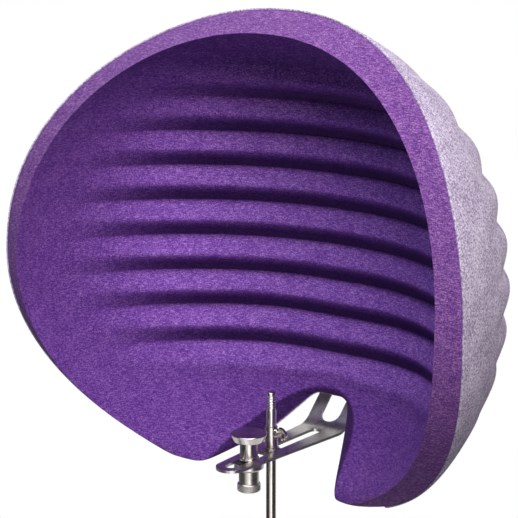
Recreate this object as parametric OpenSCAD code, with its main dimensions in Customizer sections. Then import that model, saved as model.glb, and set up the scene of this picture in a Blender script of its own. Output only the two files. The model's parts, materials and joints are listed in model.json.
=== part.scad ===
// Microphone isolation shield: a ribbed felt bowl on a slotted steel bracket,
// clamped to a stand adaptor, with a height-adjustable microphone rod.
// Millimetres. +Z up, the open side of the bowl faces -Y.
// Origin: centre of the stand socket's mouth, on the stand's axis.

/* [Shell outline] */
// Half width of the outer rim at its widest level
rim_half_w = 285.5; // [260:0.5:310]
// Height of the outer rim above its widest level
rim_top_h = 270.5; // [250:0.5:290]
// Depth of the outer rim below its widest level
rim_low_h = 253.5; // [245:0.5:262]
// Height of the rim's widest level above the stand socket's mouth
rim_level = 222; // [215:0.5:228]
// How far the rim's side points stand in front of the stand's axis
rim_set_forward = 56.5; // [50:0.5:62]
// How far the top of the rim leans back behind its side points
rim_top_lean = 115; // [100:1:125]
// How far the bottom of the rim leans back behind its side points
rim_low_lean = 132; // [125:1:138]
// Depth from the rim's side points to the outer back
outer_depth = 258; // [252:1:275]
// Depth from the rim's side points to the inner back
inner_depth = 225; // [205:1:230]

/* [Rim band] */
// Width of the band across the front at the sides
band_side = 24.5; // [18:0.5:30]
// Height of the band at the top
band_top = 22; // [16:0.5:28]
// Height of the band at the bottom
band_low = 14.5; // [10:0.5:18]
// How far the band's inner edge stands forward at the sides
band_side_forward = 11; // [4:0.5:16]
// How far the band's inner edge stands forward at the top
band_top_forward = 42; // [30:0.5:50]
// How far the band's inner edge stands forward at the bottom
band_low_forward = 20; // [12:0.5:26]

/* [Ribs] */
// Spacing of the creases on the inner face
inner_rib_pitch = 39.8; // [36:0.1:42]
// Height of one inner crease from the widest level
inner_crease_h = 6.5; // [0:0.5:12]
// How far the inner ribs swell into the bowl
inner_rib_swell = 12.5; // [8:0.5:14]
// Spacing of the creases on the outer face
outer_rib_pitch = 45.1; // [43:0.1:47]
// Height of one outer crease from the widest level
outer_crease_h = 28; // [22:0.5:34]
// Height of the outer ribs from crease to crest
outer_rib_swell = 10.5; // [6:0.5:12]

/* [Notch] */
// Depth of the notch's top edge below the rim's widest level
notch_top = 155; // [150:0.5:160]
// Half width of the notch at its top corners
notch_top_half_w = 21.5; // [19:0.5:26]
// Half width of the notch where the lobes start to round
notch_low_half_w = 50; // [46:0.5:54]
// Depth at which the lobes start to round
notch_flare_depth = 194.5; // [190:0.5:200]
// Width of a lobe's rounding
lobe_round_w = 88; // [76:1:96]
// Height of a lobe's rounding
lobe_round_h = 37; // [33:1:41]
// Depth of the inner edge's arch below the widest level
arch_top = 143; // [138:0.5:148]
// Depth of the inner edge beside the lobes
arch_low = 226; // [222:0.5:230]
// How much the edges rise where the lobes round into the rim
lobe_lift = 3; // [1:0.5:8]
// How far the notch's edge lies behind the inner face
notch_edge_wall = 13.5; // [10:0.5:18]

/* [Outer skin] */
// Thickness of the grey outer skin
skin = 7; // [4:0.5:9]
// Thickness of the outer skin where it shows at the rim
skin_edge = 2; // [1:0.5:3]

/* [Bracket] */
// Thickness of the bracket's steel
plate_t = 3; // [2.5:0.1:4]
// Half width of the bracket's round front end
plate_front_r = 16; // [14:0.5:18]
// Half width of the bracket at its bend
plate_back_half_w = 26; // [24:0.5:28]
// How far the front end's centre stands in front of the stand's axis
plate_front_y = 29.5; // [27:0.5:34]
// Where the bracket bends up, behind the stand's axis
bend_y = 135.7; // [130:0.1:140]
// Slope of the arms between their two bends
arm_slope = 45; // [40:1:50]
// Inside radius of the bracket's bends
bend_r = 10; // [7:0.5:12]
// Width of the gap between the arms
arm_gap = 23; // [20:0.5:25]
// Distance from the bend to the gap's round end
arm_gap_start = 6.5; // [3:0.5:10]
// Length of the pads that lie along the shell
pad_len = 61; // [58:1:70]
// Distance of the pads from the shell's outer face
pad_gap = 6; // [5:0.5:8]
// Width of the slot
slot_w = 13; // [12.5:0.1:13.5]
// Where the slot ends, behind the stand's axis
slot_back_y = 118; // [110:0.5:120]

/* [Bracket bolts] */
// Radius of the bolts' shanks
bolt_r = 3; // [2.5:0.1:3.5]
// Distance of the lower bolts from the pads' bend
bolt_low = 16; // [14:0.5:20]
// Distance of the upper bolts from the pads' bend
bolt_high = 48; // [40:0.5:50]
// How far the rubber spacers press into the felt
spacer_bite = 1.5; // [0.5:0.5:3]
// Depth of the moulded-in nuts below the felt's outer face
insert_depth = 17; // [14:0.5:19]

/* [Stand adaptor] */
// Radius of the adaptor's body
adaptor_r = 10.5; // [10:0.1:12]
// Height of the adaptor's body under the flange
adaptor_h = 22.5; // [20:0.5:24]
// Radius of the socket at the thread's crests
socket_r = 7.45; // [7:0.05:7.9]
// Depth of the socket
socket_depth = 16; // [12:0.5:17]
// Radius of the adaptor's neck inside the flange
neck_r = 7; // [6:0.1:8]
// Radius of the clamp flange
flange_r = 15.4; // [14:0.1:16]
// Thickness of the clamp flange
flange_t = 8; // [6:0.5:9]
// Radius of the knurled grip ring
grip_r = 12; // [11.8:0.1:13]
// Height of the grip ring
grip_h = 9; // [7:0.5:11]
// Thickness of the friction washer
friction_t = 1; // [0.8:0.1:1.5]

/* [Clamp knob] */
// Radius of the knob's disc at its top
knob_r = 19.2; // [18:0.1:20]
// Radius of the knob's disc at its lower edge
knob_low_r = 15.5; // [14:0.1:17]
// Thickness of the knob's disc
knob_t = 8.5; // [7:0.5:10]
// Radius of the knob's shank
shank_r = 9.3; // [8.5:0.1:10]
// Length of the knob's shank
shank_len = 17.8; // [16:0.1:21]
// Radius of the knob's washer
washer_r = 10.8; // [10:0.1:12]
// Thickness of the knob's washer
washer_t = 1.5; // [1:0.1:2]
// Radius of the clamp stud
stud_r = 4; // [3.5:0.1:4.5]
// Depth that the stud screws into the adaptor
stud_reach = 11; // [9:0.5:12]

/* [Microphone rod] */
// Distance of the rod's axis behind the stand's axis
rod_y = 38.5; // [38:0.5:42]
// Radius of the rod
rod_r = 5.25; // [5:0.05:5.4]
// Height of the rod's shoulder above the stand socket's mouth
rod_shoulder_z = 78; // [74:0.5:84]
// Length of the rod below its shoulder
rod_len = 131; // [110:1:160]
// Radius of the threaded tip
tip_r = 4.75; // [4.5:0.05:4.8]
// Length of the threaded tip
tip_len = 19; // [14:0.5:22]
// Radius of the sleeve
sleeve_r = 6.8; // [6.6:0.1:7.2]
// Height of the sleeve above the bracket
sleeve_h = 25; // [22:0.5:28]
// Radius of the sleeve's base
sleeve_base_r = 8.2; // [7.8:0.1:9]
// Height of the sleeve's base
sleeve_base_h = 2.5; // [2:0.1:4]
// How far the sleeve's slide block reaches in front of the rod's axis
block_front = 14; // [10:0.5:14]
// How far the slide block reaches behind the rod's axis
block_back = 8; // [7:0.5:12]
// Height of the locking screw's axis above the bracket
lock_z = 19; // [17:0.5:20]
// Radius of the locking screw's stem
lock_r = 2.5; // [2:0.1:3]
// How far the boss reaches from the rod's axis
boss_reach = 9.5; // [9:0.5:11]
// Radius of the boss
boss_r = 4.6; // [4:0.1:5]
// Height of the locking screw's wing
wing_h = 15; // [12:0.5:17]
// Thickness of the post's nut
nut_t = 4.5; // [4:0.5:6]
// Thickness of the post's washer
post_washer_t = 1.5; // [1:0.1:2]

/* [Clearances] */
// Radial clearance of turned shafts in their bores
run_gap = 0.06; // [0.02:0.01:0.1]
// Clearance of loose holes and of sliding faces
loose_gap = 0.3; // [0.2:0.05:0.5]

/* [Hidden] */
$fn = 64;

// Heights of the clamped stack above the socket's mouth
flange_top = adaptor_h + flange_t;
plate_low = flange_top + friction_t;
plate_top = plate_low + plate_t;
shank_low = plate_top + washer_t;

// The shell is drawn in its own frame: y from the rim's side points, z from its widest level
shell_at = [0, -rim_set_forward, rim_level];

// Shape exponents of the rim's upper and lower halves and of its lean
rim_square = 2.08;
rim_low_square = 2.12;
lean_top_power = 2.36;
lean_low_power = 1.84;
// Rows and columns of the shell's faces
cols = 28;
top_rows = 6;
rib_steps = 3;
rib_count = 7;
low_rows = 8;
rib_rows = rib_steps * rib_count;
rows = top_rows + rib_rows + low_rows;
// Row where the outer face's columns start to gather
gather_row = top_rows + rib_rows / 2;
// Ribs between the widest level's crease and the topmost crease
ribs_above = 4;
// The ribs fade out between these shares of the way to the rim
inner_fade = [0.76, 0.975];
outer_fade = [0.76, 0.98];
// Depth of the point that the ribs swell from
rib_centre_y = 40;
notch_corner_r = 6;
// Column angle that sets how wide the arch is, and how round its top is
arch_angle = 23;
arch_round = 2.2;
// Squareness of the lobes' rounding
lobe_square = 1.28;
// Column angle where the lobes start to round into the rim
lobe_angle = 60;
// How strongly the outer face's columns gather at the notch
gather = 0.35;

// A bowl: half width, top, low, front, top lean, low lean, back, flatness and straightness
function bowl(w, top, low, front, top_lean, low_lean, back, flat, straight) =
    [w, top, low, front, top_lean, low_lean, back, flat, straight];

// Flatness and straightness are given at the sides, the top and the bottom
outer = bowl(rim_half_w, rim_top_h, rim_low_h, 0, rim_top_lean, rim_low_lean, outer_depth,
    [3.55, 4.4, 2.65], [1.55, 1.06, 1.32]);
inner = bowl(rim_half_w - band_side, rim_top_h - band_top, rim_low_h - band_low,
    -band_side_forward,
    rim_top_lean - band_top_forward + band_side_forward,
    rim_low_lean - band_low_forward + band_side_forward,
    inner_depth, [2, 2, 5.7], [2, 2, 0.26]);

function half_h(z, b) = z >= 0 ? b[1] : b[2];
function mix(a, b, t) = a + (b - a) * t;
function smooth(t) = let(c = min(1, max(0, t))) c * c * (3 - 2 * c);
function ramp(v, lim) = smooth((v - lim[0]) / (lim[1] - lim[0]));

function rim_power(z) = z >= 0 ? rim_square : rim_low_square;

// Half width of a bowl's rim at height z
function rim_x(z, b) =
    b[0] * pow(max(0, 1 - pow(abs(z) / half_h(z, b), rim_power(z))), 1 / rim_power(z));
// Share of the way from the bowl's middle to its rim, seen from the front
function rim_share(x, z, b) =
    let(n = rim_power(z))
    min(1, pow(pow(abs(x) / b[0], n) + pow(abs(z) / half_h(z, b), n), 1 / n));

// Depth of a bowl's face at a point of the front view
function bowl_y(x, z, b) =
    let(share = rim_share(x, z, b),
        lift = share > 0 ? abs(z) / half_h(z, b) / share : 0,
        lean = z >= 0 ? b[4] * pow(lift, lean_top_power) : b[5] * pow(lift, lean_low_power),
        end = z >= 0 ? 1 : 2,
        flat = mix(b[7][0], b[7][end], lift * lift),
        straight = mix(b[8][0], b[8][end], lift * lift),
        rim_y = b[3] + lean)
    rim_y + (b[6] - rim_y) * pow(max(0, 1 - pow(share, flat)), 1 / straight);

// Moves a point level with itself, away from the bowl's middle
function swell(p, d) =
    let(v = [p[0], p[1] - rib_centre_y], far = max(1, norm(v)))
    [p[0] + d * v[0] / far, p[1] + d * v[1] / far, p[2]];
// Moves a point straight towards the bowl's middle
function sunk(p, d) =
    let(v = p - [0, rib_centre_y, 0])
    p - v * d / norm(v);
function lobe(z, pitch, phase) = abs(sin(180 * (z - phase) / pitch));

// Half width of the notch at height z
function notch_x(z) =
    let(down = -z - notch_top, flare = -z - notch_flare_depth,
        side = mix(notch_top_half_w, notch_low_half_w, down / (notch_flare_depth - notch_top)))
    down <= 0 ? 0 :
    down < notch_corner_r ?
        side - notch_corner_r + sqrt(pow(notch_corner_r, 2) - pow(notch_corner_r - down, 2)) :
    flare <= 0 ? side :
    notch_low_half_w + lobe_round_w
        * (1 - pow(max(0, 1 - pow(flare / lobe_round_h, lobe_square)), 1 / lobe_square));
// Height where a column of the outer face meets the notch
function notch_end(side, low, high, n = 24) =
    let(z = (low + high) / 2)
    n == 0 ? z :
    rim_x(z, outer) * abs(side) > notch_x(z) ? notch_end(side, low, z, n - 1) :
    notch_end(side, z, high, n - 1);
// Height where a column of the inner face meets the arch
function arch_end(angle) =
    -mix(arch_top, arch_low, pow(1 - 2 / (exp(2 * abs(angle) / arch_angle) + 1), arch_round));
// Rise of both edges towards the rim
function lobe_rise(angle) =
    let(t = max(0, abs(angle) - lobe_angle) / (90 - lobe_angle))
    lobe_lift * (1 - sqrt(max(0, 1 - t * t)));
function gathered(angle) = let(t = angle / 90) 90 * mix(pow(t, 3), t, gather);

// Columns run from the top to the lower edge, at even angles from the left rim to the right one
angles = [for (j = [0 : cols]) mix(-90, 90, j / cols)];
inner_ends = [for (a = angles) arch_end(a) + lobe_rise(a)];
outer_ends = [for (a = angles) notch_end(sin(gathered(a)), -outer[2], -notch_top) + lobe_rise(a)];

// Height of a row: even arcs at the top, level rows along the ribs, then rows to the notch
function row_z(i, end, b, pitch, phase) =
    let(first = phase + ribs_above * pitch, last = first - rib_count * pitch)
    i <= top_rows ? b[1] * cos(acos(first / b[1]) * i / top_rows) :
    i <= top_rows + rib_rows ? first - pitch * (i - top_rows) / rib_steps :
    mix(last, end, (i - top_rows - rib_rows) / low_rows);
function low_share(i) = max(0, (i - top_rows - rib_rows) / low_rows);
function gather_share(i) = max(0, (i - gather_row) / (rows - gather_row));

function inner_point(i, j) =
    let(z = row_z(i, inner_ends[j], inner, inner_rib_pitch, inner_crease_h),
        x = rim_x(z, inner) * sin(angles[j]),
        share = rim_share(x, z, inner),
        d = inner_rib_swell * lobe(z, inner_rib_pitch, inner_crease_h)
            * (1 - ramp(share, inner_fade)) * (1 - smooth(2 * low_share(i))))
    swell([x, bowl_y(x, z, inner), z], -d);

// The outer face draws in to the inner face along the notch
function outer_point(i, j) =
    let(z = row_z(i, outer_ends[j], outer, outer_rib_pitch, outer_crease_h),
        near = smooth(low_share(i)),
        side = sin(mix(angles[j], gathered(angles[j]), smooth(gather_share(i)))),
        x = rim_x(z, outer) * side,
        share = rim_share(x, z, outer),
        pull = near * (1 - side * side),
        y = mix(bowl_y(x, z, outer), bowl_y(x, z, inner) + notch_edge_wall, pull),
        d = outer_rib_swell * (lobe(z, outer_rib_pitch, outer_crease_h) - 0.5)
            * (1 - ramp(share, outer_fade)) * (1 - pull))
    swell([x, y, z], d);
function seam_point(i, j) =
    let(p = outer_point(i, j),
        share = rim_share(p[0], p[2], outer),
        deep = (1 - pow(share, 8)) * (1 - pow(low_share(i), 2)))
    sunk(p, mix(skin_edge, skin, deep));

// A closed solid between two faces of the shell, each a pole and rows of points
function face_rows(kind) =
    [for (i = [0 : rows]) for (j = [0 : i == 0 ? 0 : cols])
        kind == "inner" ? inner_point(i, j) : kind == "seam" ? seam_point(i, j) : outer_point(i, j)];
function at(i, j) = i == 0 ? 0 : 1 + (i - 1) * (cols + 1) + j;
face_points = 1 + rows * (cols + 1);
edge_loop = concat([0], [for (i = [1 : rows]) at(i, 0)], [for (j = [1 : cols]) at(rows, j)],
    [for (i = [rows - 1 : -1 : 1]) at(i, cols)]);
function front_faces() =
    concat([for (j = [0 : cols - 1]) [0, at(1, j), at(1, j + 1)]],
        [for (i = [1 : rows - 1]) for (j = [0 : cols - 1]) each 2 * j < cols ? [
            [at(i, j), at(i + 1, j), at(i, j + 1)],
            [at(i, j + 1), at(i + 1, j), at(i + 1, j + 1)]] : [
            [at(i, j), at(i + 1, j), at(i + 1, j + 1)],
            [at(i, j), at(i + 1, j + 1), at(i, j + 1)]]]);
function flipped(faces) = [for (f = faces) [f[2], f[1], f[0]]];
function moved_on(faces, by) = [for (f = faces) [f[0] + by, f[1] + by, f[2] + by]];
function edge_faces() =
    let(n = len(edge_loop))
    [for (k = [0 : n - 1]) let(a = edge_loop[k], b = edge_loop[(k + 1) % n]) each [
        [b, a, a + face_points],
        [b, a + face_points, b + face_points]]];

module layer(front, back) {
    translate(shell_at)
        polyhedron(points = concat(face_rows(front), face_rows(back)),
            faces = concat(flipped(front_faces()), moved_on(front_faces(), face_points),
                flipped(edge_faces())));
}

module inner_shell() {
    color([0.42, 0.25, 0.56]) layer("inner", "seam");
}

module outer_shell() {
    color([0.70, 0.64, 0.74]) layer("seam", "outer");
}

// Bracket: path of its upper face behind the bend, as [y, z] in the part's frame
arm_x = (arm_gap / 2 + plate_back_half_w) / 2;
arm_w = plate_back_half_w - arm_gap / 2;
pad_above_notch = 22;
pad_rise = 56;
// How much wider than the arms the pads' round ends are struck
pad_end_over = 0.6;
pad_end_r = arm_w / 2 + pad_end_over;
function shell_back(z) =
    let(level = z - rim_level)
    bowl_y(arm_x, level, outer) - rim_set_forward;
// The pads follow the shell's slope between these two heights
pad_low_z = rim_level - notch_top + pad_above_notch;
pad_high_z = pad_low_z + pad_rise;
pad_slope = atan2(pad_high_z - pad_low_z, shell_back(pad_high_z) - shell_back(pad_low_z));
pad_dir = [cos(pad_slope), sin(pad_slope)];
pad_out = [sin(pad_slope), -cos(pad_slope)];
pad_base = [shell_back(pad_low_z), pad_low_z] + pad_out * (pad_gap + outer_rib_swell / 2);
bend_at = [bend_y, plate_top];
arm_dir = [cos(arm_slope), sin(arm_slope)];
arm_run = ((pad_base[0] - bend_at[0]) * pad_dir[1] - (pad_base[1] - bend_at[1]) * pad_dir[0])
    / (arm_dir[0] * pad_dir[1] - arm_dir[1] * pad_dir[0]);
pad_bend = bend_at + arm_dir * arm_run;
pad_end = pad_bend + pad_dir * (pad_len + arm_w);
bend_steps = 8;

// A round bend of a path between headings h1 and h2, on the left of the path
function bend_arc(corner, h1, h2, r) =
    let(cut = r * tan((h2 - h1) / 2),
        start = corner - cut * [cos(h1), sin(h1)],
        centre = start + r * [-sin(h1), cos(h1)])
    [for (k = [0 : bend_steps]) let(h = mix(h1, h2, k / bend_steps)) centre + r * [sin(h), -cos(h)]];
bend_lead = bend_r * tan(arm_slope / 2);
arm_top = concat(bend_arc(bend_at, 0, arm_slope, bend_r),
    bend_arc(pad_bend, arm_slope, pad_slope, bend_r), [pad_end]);
// Headings at the path's points, for the steel's lower face
arm_heads = concat([for (k = [0 : bend_steps]) mix(0, arm_slope, k / bend_steps)],
    [for (k = [0 : bend_steps]) mix(arm_slope, pad_slope, k / bend_steps)], [pad_slope]);
arm_under = [for (k = [len(arm_top) - 1 : -1 : 0])
    arm_top[k] + plate_t * [sin(arm_heads[k]), -cos(arm_heads[k])]];

module slot_outline(w, front, back) {
    translate([0, front]) circle(d = w);
    translate([0, back]) circle(d = w);
    translate([-w / 2, front]) square([w, back - front]);
}

module plate_outline() {
    flat_end = bend_at[0] - bend_lead;
    translate([0, -plate_front_y]) circle(r = plate_front_r);
    polygon([[-plate_front_r, -plate_front_y], [plate_front_r, -plate_front_y],
        [plate_back_half_w, flat_end], [-plate_back_half_w, flat_end]]);
}

// Puts children on a pad: z away from the shell, the origin on the pad's inner face
module on_pad(x, along) {
    p = pad_bend + pad_dir * along;
    translate([x, p[0], p[1]]) rotate([pad_slope - 180, 0, 0]) children();
}

// Depth of the felt's outer face, ribs included, at a point of the front view
function felt_y(x, z) =
    let(share = rim_share(x, z, outer))
    bowl_y(x, z, outer) + (1 - ramp(share, outer_fade))
        * outer_rib_swell * (lobe(z, outer_rib_pitch, outer_crease_h) - 0.5);
// Distance from a pad's inner face to the felt, along a bolt
function felt_gap(along, near = 0, far = 40, n = 16) =
    let(t = (near + far) / 2, p = pad_bend + pad_dir * along - pad_out * t)
    n == 0 ? t :
    p[0] + rim_set_forward > felt_y(arm_x, p[1] - rim_level) ? felt_gap(along, t, far, n - 1) :
    felt_gap(along, near, t, n - 1);

// Each bolt's children know the distance to the felt as $felt
module on_each_bolt() {
    for (x = [-arm_x, arm_x])
        for (along = [bolt_low, bolt_high]) {
            $felt = felt_gap(along);
            on_pad(x, along) children();
        }
}

module tube(r, bore, h) {
    difference() {
        cylinder(r = r, h = h);
        translate([0, 0, -1]) cylinder(r = bore, h = h + 2);
    }
}

module bracket() {
    color([0.72, 0.70, 0.72]) difference() {
        union() {
            translate([0, 0, plate_low]) linear_extrude(plate_t) plate_outline();
            translate([-plate_back_half_w, 0, 0]) rotate([90, 0, 90])
                linear_extrude(2 * plate_back_half_w) polygon(concat(arm_top, arm_under));
        }
        for (x = [-arm_x, arm_x])
            on_pad(x, pad_len) translate([0, 0, -1]) linear_extrude(plate_t + 2) difference() {
                translate([-arm_w, -2 * arm_w]) square(2 * arm_w);
                circle(r = pad_end_r);
            }
        translate([0, 0, plate_low - 1]) linear_extrude(plate_t + 2)
            slot_outline(slot_w, -plate_front_y, slot_back_y);
        translate([0, bend_at[0], bend_at[1]]) rotate([arm_slope, 0, 0])
            translate([0, 0, -arm_run]) linear_extrude(3 * arm_run)
                slot_outline(arm_gap, arm_gap_start + arm_gap / 2, arm_run + 2 * pad_len);
        on_each_bolt() translate([0, 0, -1]) cylinder(r = bolt_r + loose_gap, h = plate_t + 2);
    }
}

bolt_washer_t = 1.5;
bolt_head_h = 4;
bolt_head_r = 5.2;
bolt_washer_r = 6.5;
spacer_r = 7;
insert_r = 4.6;
insert_flange_r = 9;
insert_flange_t = 1.5;

module bracket_bolts() {
    color([0.62, 0.62, 0.64]) on_each_bolt() {
        translate([0, 0, plate_t + bolt_washer_t]) cylinder(r = bolt_head_r, h = bolt_head_h, $fn = 6);
        translate([0, 0, -$felt - insert_depth])
            cylinder(r = bolt_r, h = $felt + insert_depth + plate_t + bolt_washer_t);
    }
}

module bolt_washers() {
    color([0.66, 0.66, 0.68]) on_each_bolt()
        translate([0, 0, plate_t]) tube(bolt_washer_r, bolt_r + loose_gap / 2, bolt_washer_t);
}

module bracket_spacers() {
    color([0.10, 0.10, 0.11]) on_each_bolt()
        translate([0, 0, -$felt - spacer_bite])
            tube(spacer_r, bolt_r + loose_gap / 2, $felt + spacer_bite);
}

module insert_nuts() {
    color([0.75, 0.66, 0.40]) on_each_bolt() {
        translate([0, 0, -$felt - insert_depth])
            tube(insert_r, bolt_r + run_gap, insert_depth - spacer_bite);
        translate([0, 0, -$felt - insert_depth - insert_flange_t])
            cylinder(r = insert_flange_r, h = insert_flange_t);
    }
}

// Stand adaptor: its top takes the clamp stud, its socket screws onto the stand
module stand_adaptor() {
    color([0.66, 0.65, 0.66]) difference() {
        union() {
            cylinder(r = adaptor_r, h = adaptor_h);
            cylinder(r = neck_r, h = flange_top);
        }
        translate([0, 0, -1]) cylinder(r = socket_r, h = socket_depth + 1);
        translate([0, 0, flange_top - stud_reach - 1]) cylinder(r = stud_r + run_gap, h = stud_reach + 2);
    }
}

module clamp_flange() {
    color([0.68, 0.66, 0.68]) translate([0, 0, adaptor_h]) tube(flange_r, neck_r, flange_t);
}

module grip_ring() {
    chamfer = 1;
    color([0.66, 0.64, 0.66]) rotate_extrude()
        polygon([[adaptor_r, 0], [grip_r - chamfer, 0], [grip_r, chamfer],
            [grip_r, grip_h - chamfer], [grip_r - chamfer, grip_h], [adaptor_r, grip_h]]);
}

module friction_washer() {
    color([0.16, 0.15, 0.16]) translate([0, 0, flange_top])
        tube(flange_r - 1, stud_r + loose_gap, friction_t);
}

// Slide bush: keeps the stud central in the slot, and turns with the bracket
bush_drop = 0.1;
bush_len = 1.4 * slot_w;
module slot_bush() {
    w = slot_w - 2 * run_gap;
    color([0.20, 0.20, 0.22]) translate([0, 0, plate_low]) difference() {
        translate([-w / 2, -bush_len / 2, 0]) cube([w, bush_len, plate_t - bush_drop]);
        translate([0, 0, -1]) cylinder(r = stud_r + run_gap, h = plate_t + 2);
    }
}

module knob_washer() {
    color([0.70, 0.68, 0.70]) translate([0, 0, plate_top])
        tube(washer_r, stud_r + loose_gap, washer_t);
}

// Knob: a disc that widens upwards, on a shank
module clamp_knob() {
    chamfer = 0.8;
    top = shank_len + knob_t;
    color([0.74, 0.72, 0.74]) translate([0, 0, shank_low]) rotate_extrude()
        polygon([[stud_r, 0], [shank_r, 0], [shank_r, shank_len], [knob_low_r, shank_len],
            [knob_r, top - chamfer], [knob_r - chamfer, top], [0, top], [0, shank_len],
            [stud_r, shank_len]]);
}

module clamp_stud() {
    low = flange_top - stud_reach;
    color([0.60, 0.59, 0.60]) translate([0, 0, low]) cylinder(r = stud_r, h = shank_low + shank_len - low);
}

// Sleeve that carries the rod: base on the bracket, slide block and spigot in the slot, boss for the screw
block_proud = 0.6;
block_half_w = slot_w / 2 - loose_gap / 2;
spigot_r = slot_w / 2 - loose_gap;
spigot_low = plate_low - post_washer_t - nut_t - 0.5;
rod_bore_r = rod_r + run_gap;
lock_axis_z = plate_top + lock_z;
module on_rod() {
    translate([0, rod_y, 0]) children();
}
module on_lock(from) {
    on_rod() translate([from, 0, lock_axis_z]) rotate([0, 90, 0]) children();
}

module post_sleeve() {
    color([0.72, 0.70, 0.72]) difference() {
        union() {
            on_rod() {
                translate([0, 0, plate_top]) cylinder(r = sleeve_base_r, h = sleeve_base_h);
                translate([0, 0, plate_top]) cylinder(r = sleeve_r, h = sleeve_h);
                translate([0, 0, spigot_low]) cylinder(r = spigot_r, h = plate_top - spigot_low);
                translate([-block_half_w, -block_front, plate_low + bush_drop])
                    cube([2 * block_half_w, block_front + block_back, plate_t - bush_drop + block_proud]);
            }
            on_lock(0) cylinder(r = boss_r, h = boss_reach);
        }
        on_rod() translate([0, 0, spigot_low - 1]) cylinder(r = rod_bore_r, h = plate_top + sleeve_h);
        on_lock(0) cylinder(r = lock_r + run_gap, h = boss_reach + 1);
    }
}

module post_washer() {
    color([0.66, 0.65, 0.66]) on_rod() translate([0, 0, plate_low - post_washer_t])
        tube(spigot_r + 3, spigot_r + loose_gap / 2, post_washer_t);
}

module post_nut() {
    color([0.62, 0.61, 0.62]) on_rod() translate([0, 0, plate_low - post_washer_t - nut_t])
        difference() {
            cylinder(r = spigot_r + 3, h = nut_t, $fn = 6);
            translate([0, 0, -1]) cylinder(r = spigot_r, h = nut_t + 2);
        }
}

// Locking screw: a stem with a soft tip, and a flat wing to turn it by
lock_tip_t = 1.5;
lock_tip_x = rod_bore_r + loose_gap;
stem_end = boss_reach + 4;
wing_t = 3;
wing_reach = 7;
wing_turn = 20;
module lock_screw() {
    color([0.74, 0.72, 0.74]) {
        on_lock(lock_tip_x + lock_tip_t) cylinder(r = lock_r, h = stem_end - lock_tip_x - lock_tip_t);
        on_lock(boss_reach + loose_gap) cylinder(r = lock_r + 1, h = 2);
        on_lock(stem_end - 1.5) rotate([0, 0, wing_turn]) intersection() {
            translate([-wing_h / 2, -wing_t / 2, 0]) cube([wing_h, wing_t, wing_reach + 1.5]);
            translate([0, wing_t, 0]) rotate([90, 0, 0]) cylinder(r = wing_h / 2 + 0.5, h = 2 * wing_t);
        }
    }
}

module lock_tip() {
    color([0.78, 0.64, 0.34]) on_lock(lock_tip_x) cylinder(r = lock_r - 0.2, h = lock_tip_t);
}

module mic_rod() {
    chamfer = 0.8;
    tip_top = rod_len + tip_len;
    color([0.76, 0.74, 0.76]) on_rod() translate([0, 0, rod_shoulder_z - rod_len]) rotate_extrude()
        polygon([[0, 0], [rod_r - chamfer, 0], [rod_r, chamfer], [rod_r, rod_len], [tip_r, rod_len],
            [tip_r, tip_top - chamfer], [tip_r - chamfer, tip_top], [0, tip_top]]);
}

outer_shell();
inner_shell();
bracket();
bracket_bolts();
bolt_washers();
bracket_spacers();
insert_nuts();
stand_adaptor();
clamp_flange();
grip_ring();
friction_washer();
slot_bush();
knob_washer();
clamp_knob();
clamp_stud();
post_sleeve();
post_washer();
post_nut();
lock_screw();
lock_tip();
mic_rod();
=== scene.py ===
"""Looks of the microphone isolation shield: felt shells, steel bracket and clamp, studio and camera."""

import json
import math

import bmesh
import bpy
import numpy as np
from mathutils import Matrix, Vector


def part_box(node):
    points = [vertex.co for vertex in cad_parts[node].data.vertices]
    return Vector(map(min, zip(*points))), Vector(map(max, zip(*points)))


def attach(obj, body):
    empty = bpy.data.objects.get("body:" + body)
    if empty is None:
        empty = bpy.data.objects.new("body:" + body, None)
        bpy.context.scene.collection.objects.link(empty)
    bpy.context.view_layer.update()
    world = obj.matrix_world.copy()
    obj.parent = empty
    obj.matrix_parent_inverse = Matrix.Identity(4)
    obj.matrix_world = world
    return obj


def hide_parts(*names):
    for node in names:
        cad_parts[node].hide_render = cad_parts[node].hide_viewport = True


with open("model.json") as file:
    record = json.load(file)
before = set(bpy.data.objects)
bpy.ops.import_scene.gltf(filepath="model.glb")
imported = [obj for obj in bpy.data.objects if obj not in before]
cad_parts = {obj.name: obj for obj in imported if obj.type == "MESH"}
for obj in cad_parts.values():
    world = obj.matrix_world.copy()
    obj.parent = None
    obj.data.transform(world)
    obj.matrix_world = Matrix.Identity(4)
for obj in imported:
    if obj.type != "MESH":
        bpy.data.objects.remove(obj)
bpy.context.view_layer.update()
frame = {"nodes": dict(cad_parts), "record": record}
nodes = frame["nodes"]
MM = 0.001

# Shell sizes in millimetres, in the shell's own frame:
# y from the rim's side points, z from the widest level
SHELL_AT = np.array([0.0, -56.5, 222.0])
# Squareness of the rim over and under the widest level, and powers of its lean at the top and the bottom
RIM_SQUARE = 2.08
RIM_LOW_SQUARE = 2.12
LEAN_TOP_POWER = 2.36
LEAN_LOW_POWER = 1.84
# The two bowls. A higher flat gives a flatter back, and a higher straight gives straighter walls:
# each has a value for the sides, the top and the bottom.
OUTER = {
    "half_w": 285.5,
    "top": 270.5,
    "low": 253.5,
    "front": 0.0,
    "top_lean": 115.0,
    "low_lean": 132.0,
    "back": 258.0,
    "flat": (3.55, 4.4, 2.65),
    "straight": (1.55, 1.06, 1.32),
    "lip": 0.0,
}
INNER = {
    "half_w": 261.0,
    "top": 248.5,
    "low": 239.0,
    "front": -11.0,
    "top_lean": 84.0,
    "low_lean": 123.0,
    "back": 225.0,
    "flat": (2.0, 2.0, 5.7),
    "straight": (2.0, 2.0, 0.26),
    "lip": 9.0,
}
# Heights between which the inner edge comes forward to its lip, how close to the edge the lip is,
# and the share of it that fades towards the bottom
LIP_HEIGHTS = (150.0, -30.0)
LIP_POWER = 8
LIP_FADE = 0.7
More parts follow.
